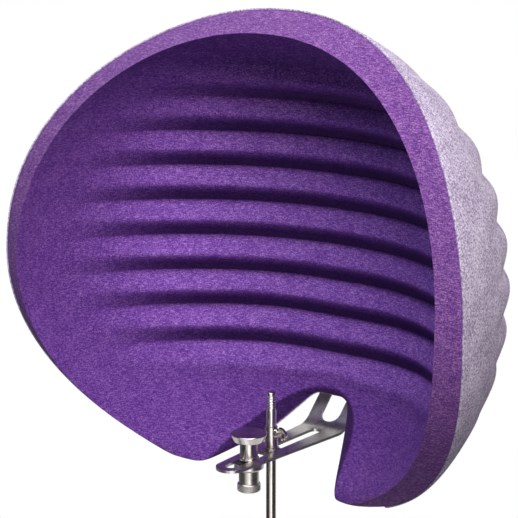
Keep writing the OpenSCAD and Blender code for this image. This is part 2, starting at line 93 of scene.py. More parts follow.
# Ribs: pitch, height of one crease, swell, and the shares of the way to the rim where they fade
INNER_RIB = {"pitch": 39.8, "phase": 9.0, "swell": 17.0, "fade": (0.76, 0.985)}
OUTER_RIB = {"pitch": 45.1, "phase": 28.0, "swell": 10.5, "fade": (0.76, 0.98)}
# Ribs above that crease, ribs that have level rows of points, and the point that the ribs swell from
RIBS_ABOVE = 4
RIB_COUNT = 7
RIB_CENTRE = np.array([0.0, 40.0, 0.0])
# One inner rib: where its crest is, how round it is, and how high the last one is
RIB_CREST = 0.5
CREST_ROUNDING = 0.3
LAST_RIB_SHARE = 0.45
# Shares of a rib over which its painted shade starts and ends and its painted light starts: shade under
# the crest and just below the crease, light on the upper face, and the shares of the way to the rim where
# both fade
PAINTED_SHADE_RISE = 0.25
PAINTED_SHADE_FALL = 0.04
PAINTED_LIGHT_RISE = 0.08
PAINTED_SHADING_FADE = (0.62, 0.985)
# Shares of an inner rib, from crease to crease, that have a row of points:
# close at the crease and the crest
RIB_SHARES = (0, 0.02, 0.07, 0.15, 0.25, 0.35, 0.42, 0.46, 0.5, 0.54, 0.59, 0.67, 0.78, 0.89, 0.97)
# Notch, with half of its width at the top and where the lobes start to round
NOTCH_TOP = 155.0
NOTCH_TOP_HALF_W = 21.5
NOTCH_LOW_HALF_W = 50.0
NOTCH_FLARE_DEPTH = 194.5
NOTCH_CORNER_R = 6.0
NOTCH_EDGE_WALL = 13.5
NOTCH_HALVINGS = 30
# Lobes: their rounding, their rise into the rim from an angle on, and the skew between the two sides
LOBE_ROUND_W = 88.0
LOBE_ROUND_H = 37.0
LOBE_SQUARE = 1.28
LOBE_LIFT = 9.0
LOBE_ANGLE = 50.0
LOBE_SKEW = 4.0
SKEW_ANGLES = (25.0, 85.0)
# Arch of the inner edge over the notch, with the angles of its left and right sides
ARCH_TOP = 143.0
ARCH_LOW = 226.0
ARCH_ANGLES = (27.0, 23.0)
ARCH_ROUND = 2.2
# How much of their even spacing the columns keep where they gather at the notch
GATHER = 0.35
# Outer skin, its thickness at the rim, how close to the rim it thins, and its gap to the inner shell
SKIN = 7.0
SKIN_EDGE = 1.6
SKIN_EDGE_POWER = 8
SEAM_GAP = 0.2
# Squareness of the rolled edges at the rim, the notch and the outer skin
BAND_SQUARE = 2.8
NOTCH_SQUARE = 2.6
SKIN_SQUARE = 3.5
# Fullness and depth of the notch's edge, and the share of the fullness that it keeps at its end
EDGE_FULLNESS = 7.0
EDGE_DEPTH = 0.6
EDGE_TUCK = 0.3
# How soon the painted shade on the notch's edge starts
NOTCH_PAINTED_SHADE_TURN = 3.0
# Shares of the way from the arch to the rim over which the notch's edge turns into the rim's band
NOTCH_FADE = (0.45, 0.95)
# Evening out of the rings at the lobe corners: reach in points, and passes
CORNER_REACH = 40.0
CALM_PASSES = 60
# Rings of points round the edges, and the share of the way to the rim that gives an edge its direction
BAND_RINGS = 18
SKIN_RINGS = 4
STEP_IN = 0.985
# Joining distance of doubled points, angles of flat and of sharp edges, and steps of a rounded edge
WELD = 0.001
FLAT_ANGLE = math.radians(0.5)
SHARP_ANGLE = math.radians(28)
EDGE_STEPS = 3
# A number that keeps divisions off zero
TINY = 1e-9
# Fineness of the felt faces
COLS = 120
TOP_ROWS = 30
RIB_ROWS = RIB_COUNT * len(RIB_SHARES)
LOW_ROWS = 44
ROWS = TOP_ROWS + RIB_ROWS + LOW_ROWS


# Shapes of the felt bowl

def mix(a, b, t):
    """A value between two others."""
    return a + (b - a) * t


def smooth(t):
    """A soft step from 0 to 1."""
    c = np.clip(t, 0, 1)
    return c * c * (3 - 2 * c)


def ramp(value, limits):
    """A soft step from 0 to 1 while a value passes between two limits, upwards or downwards."""
    return smooth((value - limits[0]) / (limits[1] - limits[0]))


def half_h(z, bowl):
    """Height of a bowl's rim over or under its widest level, on the side of z."""
    return np.where(z >= 0, bowl["top"], bowl["low"])


def rim_power(z):
    """Power of the rim's outline, a squarer one for a higher power."""
    return np.where(z >= 0, RIM_SQUARE, RIM_LOW_SQUARE)


def rim_x(z, bowl):
    """Half width of a bowl's rim at height z."""
    rest = 1 - (np.abs(z) / half_h(z, bowl)) ** rim_power(z)
    return bowl["half_w"] * np.maximum(0, rest) ** (1 / rim_power(z))


def rim_share(x, z, bowl):
    """Share of the way from the bowl's middle to its rim, seen from the front."""
    across = (np.abs(x) / bowl["half_w"]) ** rim_power(z)
    up = (np.abs(z) / half_h(z, bowl)) ** rim_power(z)
    return np.minimum(1, (across + up) ** (1 / rim_power(z)))


def bowl_y(x, z, bowl):
    """Depth of a bowl's face at a point of the front view."""
    share = rim_share(x, z, bowl)
    lift = np.abs(z) / half_h(z, bowl) / np.maximum(share, TINY)
    over = z >= 0
    top_lean = bowl["top_lean"] * lift**LEAN_TOP_POWER
    low_lean = bowl["low_lean"] * lift**LEAN_LOW_POWER
    flat = mix(bowl["flat"][0], np.where(over, bowl["flat"][1], bowl["flat"][2]), lift**2)
    straight = mix(bowl["straight"][0], np.where(over, bowl["straight"][1], bowl["straight"][2]), lift**2)
    rim_y = bowl["front"] + np.where(over, top_lean, low_lean)
    edge_z = np.where(over, lift, -lift) * half_h(z, bowl)
    forward = bowl["lip"] * ramp(edge_z, LIP_HEIGHTS) * (1 - LIP_FADE * np.where(over, 0, lift**4))
    rim_y = rim_y - forward * share**LIP_POWER
    return rim_y + (bowl["back"] - rim_y) * np.maximum(0, 1 - share**flat) ** (1 / straight)


def swell(p, d):
    """Moves points level with themselves, away from the bowl's middle."""
    v = p - RIB_CENTRE
    v[..., 2] = 0
    far = np.maximum(1, np.linalg.norm(v, axis=-1, keepdims=True))
    return p + v / far * d[..., None]


def sunk(p, d):
    """Moves points straight towards the bowl's middle."""
    v = p - RIB_CENTRE
    return p - v / np.linalg.norm(v, axis=-1, keepdims=True) * d[..., None]


def notch_x(z):
    """Half width of the notch at height z."""
    down = -z - NOTCH_TOP
    side = mix(NOTCH_TOP_HALF_W, NOTCH_LOW_HALF_W, down / (NOTCH_FLARE_DEPTH - NOTCH_TOP))
    corner = side - NOTCH_CORNER_R + np.sqrt(
        np.maximum(0, NOTCH_CORNER_R**2 - (NOTCH_CORNER_R - down) ** 2)
    )
    flare = np.maximum(0, -z - NOTCH_FLARE_DEPTH) / LOBE_ROUND_H
    rest = np.maximum(0, 1 - flare**LOBE_SQUARE) ** (1 / LOBE_SQUARE)
    lobe = NOTCH_LOW_HALF_W + LOBE_ROUND_W * (1 - rest)
    wide = np.where(flare > 0, lobe, np.where(down < NOTCH_CORNER_R, corner, side))
    return np.where(down <= 0, 0, wide)


def notch_end(side):
    """Height where a column of the outer face meets the notch."""
    low = np.full_like(side, -OUTER["low"])
    high = np.full_like(side, -NOTCH_TOP)
    for _ in range(NOTCH_HALVINGS):
        z = (low + high) / 2
        beside = rim_x(z, OUTER) * np.abs(side) > notch_x(z)
        high = np.where(beside, z, high)
        low = np.where(beside, low, z)
    return (low + high) / 2


def arch_end(angle):
    """Height where a column of the inner face meets the arch."""
    left, right = ARCH_ANGLES
    turn = np.abs(angle) / np.where(angle < 0, left, right)
    return -mix(ARCH_TOP, ARCH_LOW, np.tanh(turn) ** ARCH_ROUND)


def lobe_rise(angle):
    """Rise of both edges where the lobes round into the rim, lower on the right lobe."""
    t = np.maximum(0, np.abs(angle) - LOBE_ANGLE) / (90 - LOBE_ANGLE)
    skew = LOBE_SKEW * np.sign(angle) * ramp(np.abs(angle), SKEW_ANGLES)
    return LOBE_LIFT * (1 - np.sqrt(np.maximum(0, 1 - t * t))) - skew


def gathered(angle):
    """Angles of the columns, closer together round the middle."""
    t = angle / 90
    return 90 * mix(t**3, t, GATHER)


def row_heights(ends, top, rib, shares):
    """Heights of a face's points: even arcs at the top, level rows along the ribs, rows to the notch."""
    first = rib["phase"] + RIBS_ABOVE * rib["pitch"]
    last = first - RIB_COUNT * rib["pitch"]
    arcs = np.linspace(TOP_START, math.acos(first / top), TOP_ROWS + 1)[:-1]
    turns = (np.arange(RIB_COUNT)[:, None] + np.array(shares)).ravel()
    upper = np.concatenate([top * np.cos(arcs), first - turns * rib["pitch"], [last]])
    steps = np.linspace(0, 1, LOW_ROWS + 1)[1:]
    lower = mix(last, ends[None, :], steps[:, None])
    return np.concatenate([np.repeat(upper[:, None], len(ends), 1), lower])


ROW = np.arange(ROWS + 1)[:, None]
LOW_SHARE = np.maximum(0, (ROW - TOP_ROWS - RIB_ROWS) / LOW_ROWS)
GATHER_ROW = TOP_ROWS + RIB_ROWS / 2
GATHER_SHARE = np.maximum(0, (ROW - GATHER_ROW) / (ROWS - GATHER_ROW))
# Shares of the rim's size where the faces end, because its corners are rolled over
INNER_EDGE = 0.999
OUTER_EDGE = 0.9998
# First arc of the faces at the top, just off the middle
TOP_START = math.radians(0.25)
EVEN_SHARES = np.arange(len(RIB_SHARES)) / len(RIB_SHARES)


def rib_turn(z):
    """Inner ribs passed on the way down to height z, from the crease above the first one."""
    return (INNER_RIB["phase"] + RIBS_ABOVE * INNER_RIB["pitch"] - z) / INNER_RIB["pitch"]


def inner_rib(z):
    """Height of the inner ribs, from 0 at a crease to nearly 1 at a crest."""
    turn = rib_turn(z)
    t = turn % 1
    rise = t / RIB_CREST
    fall = (1 - t) / (1 - RIB_CREST)
    share = np.clip(0.5 + (fall - rise) / CREST_ROUNDING / 2, 0, 1)
    height = mix(fall, rise, share) - CREST_ROUNDING * share * (1 - share)
    strength = np.where(turn < RIB_COUNT, 1.0, np.where(turn < RIB_COUNT + 1, LAST_RIB_SHARE, 0.0))
    return height * strength


def inner_face():
    """The purple face that looks into the bowl, as a grid of points."""
    angle = np.linspace(-90, 90, COLS + 1)
    ends = arch_end(angle) + lobe_rise(angle)
    z = row_heights(ends, INNER["top"] * INNER_EDGE, INNER_RIB, RIB_SHARES)
    x = INNER_EDGE * rim_x(z / INNER_EDGE, INNER) * np.sin(np.radians(angle))
    share = rim_share(x, z, INNER)
    p = np.stack([x, bowl_y(x, z, INNER), z], -1)
    d = INNER_RIB["swell"] * inner_rib(z) * (1 - ramp(share, INNER_RIB["fade"]))
    return swell(p, -d * (1 - smooth(2 * LOW_SHARE - 1)))


def inner_painted_shading(face):
    """Painted shading of the inner face's points: 1 for painted shade under the ribs, -1 for painted
    light on their upper faces.
    """
    points = face.reshape(-1, 3)
    turn = rib_turn(points[:, 2])
    t = turn % 1
    over = 1 - smooth((t - RIB_CREST) / PAINTED_SHADE_RISE)
    below = 1 - smooth(t / PAINTED_SHADE_FALL)
    painted_shade = np.maximum(1 - over, below) * np.where(turn < RIB_COUNT + LAST_RIB_SHARE, 1.0, 0.0)
    painted_light = smooth((t - PAINTED_SHADE_FALL) / PAINTED_LIGHT_RISE) * over * np.where(turn < RIB_COUNT + 1, 1.0, 0.0)
    strength = 1 - ramp(rim_share(points[:, 0], points[:, 2], INNER), PAINTED_SHADING_FADE)
    return (painted_shade - painted_light) * strength


def outer_face():
    """The grey face round the back of the bowl, as a grid of points."""
    angle = np.linspace(-90, 90, COLS + 1)
    ends = notch_end(np.sin(np.radians(gathered(angle)))) + lobe_rise(angle)
    z = row_heights(ends, OUTER["top"] * OUTER_EDGE, OUTER_RIB, EVEN_SHARES)
    side = np.sin(np.radians(mix(angle, gathered(angle), smooth(GATHER_SHARE))))
    x = OUTER_EDGE * rim_x(z / OUTER_EDGE, OUTER) * side
    share = rim_share(x, z, OUTER)
    pull = smooth(LOW_SHARE) * (1 - side**2)
    y = mix(bowl_y(x, z, OUTER), bowl_y(x, z, INNER) + NOTCH_EDGE_WALL, pull)
    lobe = np.abs(np.sin(np.pi * (z - OUTER_RIB["phase"]) / OUTER_RIB["pitch"]))
    d = OUTER_RIB["swell"] * (lobe - 0.5) * (1 - ramp(share, OUTER_RIB["fade"])) * (1 - pull)
    return swell(np.stack([x, y, z], -1), d)


def seam_face(outer, more):
    """The face between the two shells, under the outer one by its skin and a little more."""
    share = rim_share(outer[..., 0], outer[..., 2], OUTER)
    deep = (1 - share**SKIN_EDGE_POWER) * (1 - LOW_SHARE**2)
    return sunk(outer, mix(SKIN_EDGE, SKIN, deep) + more)


# Meshes

def solid(name, points, faces, edge=0.0, layers=None):
    """A closed piece from points in millimetres, with its sharp edges rounded by an edge radius.

    The layers are named values of the points for the finish.
    """
    mesh = bpy.data.meshes.new(name)
    mesh.from_pydata((np.asarray(points) * MM).tolist(), [], faces)
    for label, values in (layers or {}).items():
        mesh.attributes.new(label, "FLOAT", "POINT").data.foreach_set("value", values)
    work = bmesh.new()
    work.from_mesh(mesh)
    bmesh.ops.remove_doubles(work, verts=work.verts, dist=WELD * MM)
    if edge:
        bmesh.ops.dissolve_limit(work, angle_limit=FLAT_ANGLE, verts=work.verts, edges=work.edges)
        sharp = [e for e in work.edges if e.is_manifold and e.calc_face_angle() > SHARP_ANGLE]
        bmesh.ops.bevel(
            work,
            geom=sharp,
            offset=edge * MM,
            offset_type="OFFSET",
            segments=EDGE_STEPS,
            profile=0.5,
            affect="EDGES",
            clamp_overlap=True,
        )
    bmesh.ops.recalc_face_normals(work, faces=work.faces)
    work.to_mesh(mesh)
    work.free()
    mesh.shade_smooth()
    piece = bpy.data.objects.new(name, mesh)
    bpy.context.scene.collection.objects.link(piece)
    return piece


def grid_number(i, j):
    """Number of the point in a face's row i and column j."""
    return i * (COLS + 1) + j


RIM_LOOP = np.array(
    [grid_number(i, 0) for i in range(ROWS)]
    + [grid_number(ROWS, j) for j in range(COLS)]
    + [grid_number(i, COLS) for i in range(ROWS, 0, -1)]
    + [grid_number(0, j) for j in range(COLS, 0, -1)]
)
# The point above each edge point along the notch, one row into the face
ROW_INSIDE = np.array(
    [grid_number(max(i, 1), 1) for i in range(ROWS)]
    + [grid_number(ROWS - 1, j) for j in range(COLS)]
    + [grid_number(min(i, ROWS - 1), COLS - 1) for i in range(ROWS, 0, -1)]
    + [grid_number(1, min(j, COLS - 1)) for j in range(COLS, 0, -1)]
)
# Share of the notch in each edge point, from none at the rim to all at the arch
NOTCH_SHARE = np.concatenate(
    [
        np.zeros(ROWS),
        1 - ramp(np.abs(np.linspace(-1, 1, COLS + 1)[:-1]), NOTCH_FADE),
        np.zeros(ROWS),
        np.zeros(COLS),
    ]
)
# Share of the two lobe corners in each edge point
LOOP_AT = np.arange(len(RIM_LOOP))
CORNER_SHARE = np.maximum(
    1 - smooth(np.abs(LOOP_AT - ROWS) / CORNER_REACH),
    1 - smooth(np.abs(LOOP_AT - ROWS - COLS) / CORNER_REACH),
)


def unit(v):
    """Rows of a length of 1."""
    return v / np.linalg.norm(v, axis=1, keepdims=True)


def edge_directions(face, bowl):
    """Directions in which a face runs out at its edge: down along the notch, and out along the rim."""
    flat = face.reshape(-1, 3)
    edge = flat[RIM_LOOP]
    x, z = edge[:, 0], edge[:, 2]
    at_edge = np.stack([x, bowl_y(x, z, bowl), z], -1)
    further_in = np.stack([x * STEP_IN, bowl_y(x * STEP_IN, z * STEP_IN, bowl), z * STEP_IN], -1)
    out = unit(at_edge - further_in)
    down = unit(edge - flat[ROW_INSIDE])
    return unit(mix(out, down, NOTCH_SHARE[:, None]))


def roll(start, along, end, power, steps, soft=None):
    """Rings of points that roll a face's edge over to the end points.

    A high power gives a square edge, and soft is the share of a full, round edge in each point.
    """
    whole = end - start
    ahead = along * np.maximum(0, (whole * along).sum(1, keepdims=True))
    aside = whole - ahead
    rings = []
    for k in range(1, steps + 1):
        t = k / (steps + 1)
        turn = math.pi / 2 * t
        loop = start + ahead * math.sin(turn) ** (2 / power) + aside * (1 - math.cos(turn) ** (2 / power))
        if soft is not None:
            first = start + along * EDGE_FULLNESS
            second = end - aside * EDGE_DEPTH + along * EDGE_FULLNESS * EDGE_TUCK
            early = start * (1 - t) ** 3 + first * 3 * t * (1 - t) ** 2
            late = second * 3 * t * t * (1 - t) + end * t**3
            loop = mix(loop, early + late, soft[:, None])
        rings.append(loop)
    return rings


def calmed(rings, start, end):
    """Evens out the rings along the edge where the rim turns into the notch."""
    kept = CORNER_SHARE[:, None]
    result = []
    for k, loop in enumerate(rings):
        chord = mix(start, end, (k + 1) / (len(rings) + 1))
        bulge = loop - chord
        for _ in range(CALM_PASSES):
            bulge = mix(bulge, (np.roll(bulge, 1, 0) + np.roll(bulge, -1, 0)) / 2, kept)
        result.append(chord + bulge)
    return result


def felt_object(name, front, rings, back, painted_shading=None):
    """A closed shell: a front face, rings round its edge, and a back face.

    With painted shading for the front face, the rings are a cut edge along the rim and carry painted
    shade at the notch.
    """
    count = (ROWS + 1) * (COLS + 1)
    verts = np.concatenate([front.reshape(-1, 3), *rings, back.reshape(-1, 3)])
    faces = []
    second = count + len(rings) * len(RIM_LOOP)
    for i in range(ROWS):
        for j in range(COLS):
            quad = [grid_number(*at) for at in ((i, j), (i + 1, j), (i + 1, j + 1), (i, j + 1))]
            faces.append(quad)
            faces.append([second + k for k in reversed(quad)])
    n = len(RIM_LOOP)
    loops = [RIM_LOOP.tolist()]
    loops += [list(range(count + r * n, count + (r + 1) * n)) for r in range(len(rings))]
    loops.append((RIM_LOOP + second).tolist())
    for a, b in zip(loops, loops[1:]):
        for k in range(n):
            m = (k + 1) % n
            faces.append([a[m], a[k], b[k], b[m]])
    layers = None
    if painted_shading is not None:
        # Painted shade on the rings along the notch, deeper the further they roll from the front face
        depths = [smooth(NOTCH_PAINTED_SHADE_TURN * (k + 1) / len(rings)) for k in range(len(rings))]
        painted_shade = np.concatenate([NOTCH_SHARE * depth for depth in depths])
        cut = np.tile(1 - NOTCH_SHARE, len(rings))
        none = np.zeros(count)
        layers = {
            "painted_shading": np.concatenate([painted_shading, painted_shade, none]),
            "cut edge": np.concatenate([none, cut, none + 1]),
        }
    return solid(name, verts + SHELL_AT, faces, layers=layers)


def edge_of(face):
    """The points round a face's edge."""
    return face.reshape(-1, 3)[RIM_LOOP]


inner_points = inner_face()
outer_points = outer_face()
inner_seam = seam_face(outer_points, SEAM_GAP)
outer_seam = seam_face(outer_points, 0.0)
band_power = mix(BAND_SQUARE, NOTCH_SQUARE, NOTCH_SHARE)[:, None]
inner_rings = calmed(
    roll(
        edge_of(inner_points),
        edge_directions(inner_points, INNER),
        edge_of(inner_seam),
        band_power,
        BAND_RINGS,
        NOTCH_SHARE,
    ),
    edge_of(inner_points),
    edge_of(inner_seam),
)
outer_rings = roll(
    edge_of(outer_points),
    edge_directions(outer_points, OUTER),
    edge_of(outer_seam),
    SKIN_SQUARE,
    SKIN_RINGS,
)
inner_felt = felt_object("inner_felt", inner_points, inner_rings, inner_seam, inner_painted_shading(inner_points))
outer_felt = felt_object("outer_felt", outer_points, outer_rings, outer_seam)


# Materials

# Waves per metre of the felt's speckle, fibres and mottling, and of staining and turning marks on metal
SPECKLE_WAVES = (900, 900, 900)
FIBRE_WAVES = (240, 240, 1300)
MOTTLE_WAVES = (75, 75, 75)
STAIN_WAVES = (140, 140, 140)
TURNED_WAVES = 2600.0
# Noise levels between which marked metal goes from smooth to rough
MARK_LEVELS = (0.3, 0.7)


def group(name, inputs, outputs):
    """An empty shader node group with its sockets, and its input and output nodes."""
    tree = bpy.data.node_groups.new(name, "ShaderNodeTree")
    for label, kind, value in inputs:
        socket = tree.interface.new_socket(label, in_out="INPUT", socket_type=kind)
        socket.default_value = value
    for label, kind in outputs:
        tree.interface.new_socket(label, in_out="OUTPUT", socket_type=kind)
    return tree, tree.nodes.new("NodeGroupInput"), tree.nodes.new("NodeGroupOutput")


def math_node(tree, operation, first, second=None, clamp=False):
    """Result of an operation on one or two values, each a number or a socket."""
    node = tree.nodes.new("ShaderNodeMath")
    node.operation = operation
    node.use_clamp = clamp
    for socket, value in zip(node.inputs, (first, second)):
        if value is None:
            continue
        if isinstance(value, (int, float)):
            socket.default_value = value
        else:
            tree.links.new(value, socket)
    return node.outputs[0]


def colour_mix(tree, share, first, second, blend="MIX"):
    """A colour between two others."""
    node = tree.nodes.new("ShaderNodeMix")
    node.data_type = "RGBA"
    node.blend_type = blend
    for label, value in (("Factor", share), ("A", first), ("B", second)):
        tree.links.new(value, node.inputs[label])
    return node.outputs["Result"]


def noise(tree, coords, waves, detail, rough, distortion=0.0):
    """A noise texture on coordinates that are stretched by waves per metre along each axis."""
    mapping = tree.nodes.new("ShaderNodeMapping")
    mapping.inputs["Scale"].default_value = waves
    tree.links.new(coords, mapping.inputs["Vector"])
    texture = tree.nodes.new("ShaderNodeTexNoise")
    texture.inputs["Scale"].default_value = 1.0
    texture.inputs["Detail"].default_value = detail
    texture.inputs["Roughness"].default_value = rough
    texture.inputs["Distortion"].default_value = distortion
    tree.links.new(mapping.outputs[0], texture.inputs["Vector"])
    return texture.outputs["Fac"]


def object_coords(tree):
    """Coordinates of a piece's surface in metres."""
    return tree.nodes.new("ShaderNodeTexCoord").outputs["Object"]


def felt_fibres_and_painted_shading():
    """Heathered felt: short level fibres, fine speckle and soft mottling, with painted shade and painted
    light multiplied in, as a colour and a height.
    """
    tree, inp, out = group(
        "Felt Fibres And Painted Shading",
        [
            ("Dark Fibre", "NodeSocketColor", (0.1, 0.1, 0.1, 1)),
            ("Main Fibre", "NodeSocketColor", (0.3, 0.3, 0.3, 1)),
            ("Light Fibre", "NodeSocketColor", (0.6, 0.6, 0.6, 1)),
            ("Fineness", "NodeSocketFloat", 1.0),
            ("Speckle", "NodeSocketFloat", 1.0),
            ("Streaks", "NodeSocketFloat", 1.0),
            ("Mottle", "NodeSocketFloat", 1.0),
            ("Painted Shading", "NodeSocketFloat", 0.0),
            ("Painted Shade Tone", "NodeSocketColor", (0.5, 0.5, 0.5, 1)),
            ("Painted Light Tone", "NodeSocketColor", (1.5, 1.5, 1.5, 1)),
            ("Cut Edge", "NodeSocketFloat", 0.0),
            ("Cut Tone", "NodeSocketColor", (1, 1, 1, 1)),
        ],
        [("Color", "NodeSocketColor"), ("Height", "NodeSocketFloat")],
    )
    finer = tree.nodes.new("ShaderNodeVectorMath")
    finer.operation = "SCALE"
    tree.links.new(object_coords(tree), finer.inputs["Vector"])
    tree.links.new(inp.outputs["Fineness"], finer.inputs["Scale"])
    at = finer.outputs["Vector"]
    speckle = noise(tree, at, SPECKLE_WAVES, detail=3.0, rough=0.7)
    streaks = noise(tree, at, FIBRE_WAVES, detail=2.0, rough=0.6, distortion=0.4)
    mottle = noise(tree, at, MOTTLE_WAVES, detail=2.0, rough=0.5)
    total = 0.5
    for value, strength in ((speckle, "Speckle"), (streaks, "Streaks"), (mottle, "Mottle")):
        part = math_node(tree, "MULTIPLY", math_node(tree, "SUBTRACT", value, 0.5), inp.outputs[strength])
        total = math_node(tree, "ADD", part, total)
    share = math_node(tree, "ADD", total, 0.0, clamp=True)
    doubled = math_node(tree, "MULTIPLY", share, 2.0)
    lower = math_node(tree, "MULTIPLY", share, 2.0, clamp=True)
    upper = math_node(tree, "SUBTRACT", doubled, 1.0, clamp=True)
    colour = colour_mix(tree, lower, inp.outputs["Dark Fibre"], inp.outputs["Main Fibre"])
    colour = colour_mix(tree, upper, colour, inp.outputs["Light Fibre"])
    # Painted shade and painted light from the painted shading value, then the cut edge's tone, multiplied
    # into the colour
    painted_shade = math_node(tree, "MAXIMUM", inp.outputs["Painted Shading"], 0.0)
    painted_light = math_node(tree, "MULTIPLY", math_node(tree, "MINIMUM", inp.outputs["Painted Shading"], 0.0), -1.0)
    for amount, tone in (
        (painted_shade, "Painted Shade Tone"),
        (painted_light, "Painted Light Tone"),
        (inp.outputs["Cut Edge"], "Cut Tone"),
    ):
        colour = colour_mix(tree, amount, colour, inp.outputs[tone], "MULTIPLY")
    tree.links.new(colour, out.inputs["Color"])
    tree.links.new(share, out.inputs["Height"])
    return tree


def tool_marks(name, on_lathe):
    """Fine tool marks with a little staining, as a colour, a roughness and a height.

    On turned pieces the marks run round an upright axis, and on others they are noise stretched by waves.
    """
    guide, usual = ("Axis", (0.0, 0.0, 0.0)) if on_lathe else ("Waves", (2200.0, 40.0, 900.0))
    tree, inp, out = group(
        name,
        [
            ("Clean", "NodeSocketColor", (0.6, 0.6, 0.6, 1)),
            ("Stained", "NodeSocketColor", (0.5, 0.5, 0.5, 1)),
            ("Smoothest", "NodeSocketFloat", 0.2),
            ("Roughest", "NodeSocketFloat", 0.35),
            (guide, "NodeSocketVector", usual),
        ],
        [("Color", "NodeSocketColor"), ("Roughness", "NodeSocketFloat"), ("Height", "NodeSocketFloat")],
    )
    at = object_coords(tree)
    moved = tree.nodes.new("ShaderNodeVectorMath")
    moved.operation = "SUBTRACT" if on_lathe else "MULTIPLY"
    tree.links.new(at, moved.inputs[0])
    tree.links.new(inp.outputs[guide], moved.inputs[1])
    along = moved.outputs[0]
    if on_lathe:
        parts = tree.nodes.new("ShaderNodeSeparateXYZ")
        tree.links.new(along, parts.inputs[0])
        across = math_node(tree, "MULTIPLY", parts.outputs["X"], parts.outputs["X"])
        deep = math_node(tree, "MULTIPLY", parts.outputs["Y"], parts.outputs["Y"])
        radius = math_node(tree, "SQRT", math_node(tree, "ADD", across, deep))
        joined = tree.nodes.new("ShaderNodeCombineXYZ")
        tree.links.new(math_node(tree, "MULTIPLY", radius, TURNED_WAVES), joined.inputs["X"])
        tree.links.new(math_node(tree, "MULTIPLY", parts.outputs["Z"], TURNED_WAVES), joined.inputs["Y"])
        along = joined.outputs[0]
    marks = noise(tree, along, (1, 1, 1), detail=3.0, rough=0.6)
    stain = noise(tree, at, STAIN_WAVES, detail=3.0, rough=0.6)
    colour = colour_mix(tree, stain, inp.outputs["Clean"], inp.outputs["Stained"])
    both = math_node(tree, "MULTIPLY", math_node(tree, "ADD", stain, marks), 0.5)
    rough = tree.nodes.new("ShaderNodeMapRange")
    rough.inputs["From Min"].default_value, rough.inputs["From Max"].default_value = MARK_LEVELS
    tree.links.new(both, rough.inputs["Value"])
    tree.links.new(inp.outputs["Smoothest"], rough.inputs["To Min"])
    tree.links.new(inp.outputs["Roughest"], rough.inputs["To Max"])
    tree.links.new(colour, out.inputs["Color"])
    tree.links.new(rough.outputs["Result"], out.inputs["Roughness"])
    tree.links.new(marks, out.inputs["Height"])
    return tree


FIBRES_AND_PAINTED_SHADING = felt_fibres_and_painted_shading()
TURNED_MARKS = tool_marks("Turned Marks", True)
BRUSHED_MARKS = tool_marks("Brushed Marks", False)


def new_material(name):
    """A new material with its tree and its Principled shader."""
    material = bpy.data.materials.new(name)
    material.use_nodes = True
    return material, material.node_tree, material.node_tree.nodes["Principled BSDF"]


def place(tree, shared, values):
    """Places a shared node group in a material, with the material's own values."""
    node = tree.nodes.new("ShaderNodeGroup")
    node.node_tree = shared
    for label, value in values.items():
        node.inputs[label].default_value = value
    return node


def bump(tree, height, shader, strength, distance):
    """Gives a shader the relief of a height, over a distance in metres."""
    node = tree.nodes.new("ShaderNodeBump")
    node.inputs["Strength"].default_value = strength
    node.inputs["Distance"].default_value = distance
    tree.links.new(height, node.inputs["Height"])
    tree.links.new(node.outputs["Normal"], shader.inputs["Normal"])


# Tones of painted shade under the ribs and at the notch's edge, painted light on the ribs' upper faces,
# and cut felt, as shares of the fibres' colours
PAINTED_SHADE_TONE = (0.26, 0.21, 0.30, 1)
PAINTED_LIGHT_TONE = (1.6, 1.85, 1.5, 1)
CUT_TONE = (1.22, 1.38, 0.94, 1)
FELT_ROUGHNESS = 0.8
FELT_SPECULAR = 0.2
FELT_SHEEN_ROUGHNESS = 0.6
FELT_RELIEF = 0.5
FELT_RELIEF_DEPTH = 0.0012
# Relief of tool marks on metal, and the stretch of highlights round turned pieces
MARK_RELIEF_DEPTH = 0.0001
TURNED_STRETCH = 0.6
# Relief of the grain on moulded pieces
GRAIN_RELIEF = 0.4
GRAIN_RELIEF_DEPTH = 0.0002


def felt(name, dark, main, light, fineness, speckle, streaks, mottle, sheen):
    """Moulded felt of three fibre colours, darkened by painted shade and lightened by painted light from
    the painted shading of its points.
    """
    material, tree, shader = new_material(name)
    fibres = place(
        tree,
        FIBRES_AND_PAINTED_SHADING,
        {
            "Dark Fibre": (*dark, 1),
            "Main Fibre": (*main, 1),
            "Light Fibre": (*light, 1),
            "Fineness": fineness,
            "Speckle": speckle,
            "Streaks": streaks,
            "Mottle": mottle,
            "Painted Shade Tone": PAINTED_SHADE_TONE,
            "Painted Light Tone": PAINTED_LIGHT_TONE,
            "Cut Tone": CUT_TONE,
        },
    )
    for layer, label in (("painted_shading", "Painted Shading"), ("cut edge", "Cut Edge")):
        values = tree.nodes.new("ShaderNodeAttribute")
        values.attribute_name = layer
        tree.links.new(values.outputs["Fac"], fibres.inputs[label])
    tree.links.new(fibres.outputs["Color"], shader.inputs["Base Color"])
    shader.inputs["Roughness"].default_value = FELT_ROUGHNESS
    shader.inputs["Specular IOR Level"].default_value = FELT_SPECULAR
    shader.inputs["Sheen Weight"].default_value = sheen
    shader.inputs["Sheen Roughness"].default_value = FELT_SHEEN_ROUGHNESS
    shader.inputs["Sheen Tint"].default_value = (*light, 1)
    bump(tree, fibres.outputs["Height"], shader, FELT_RELIEF, FELT_RELIEF_DEPTH)
    return material


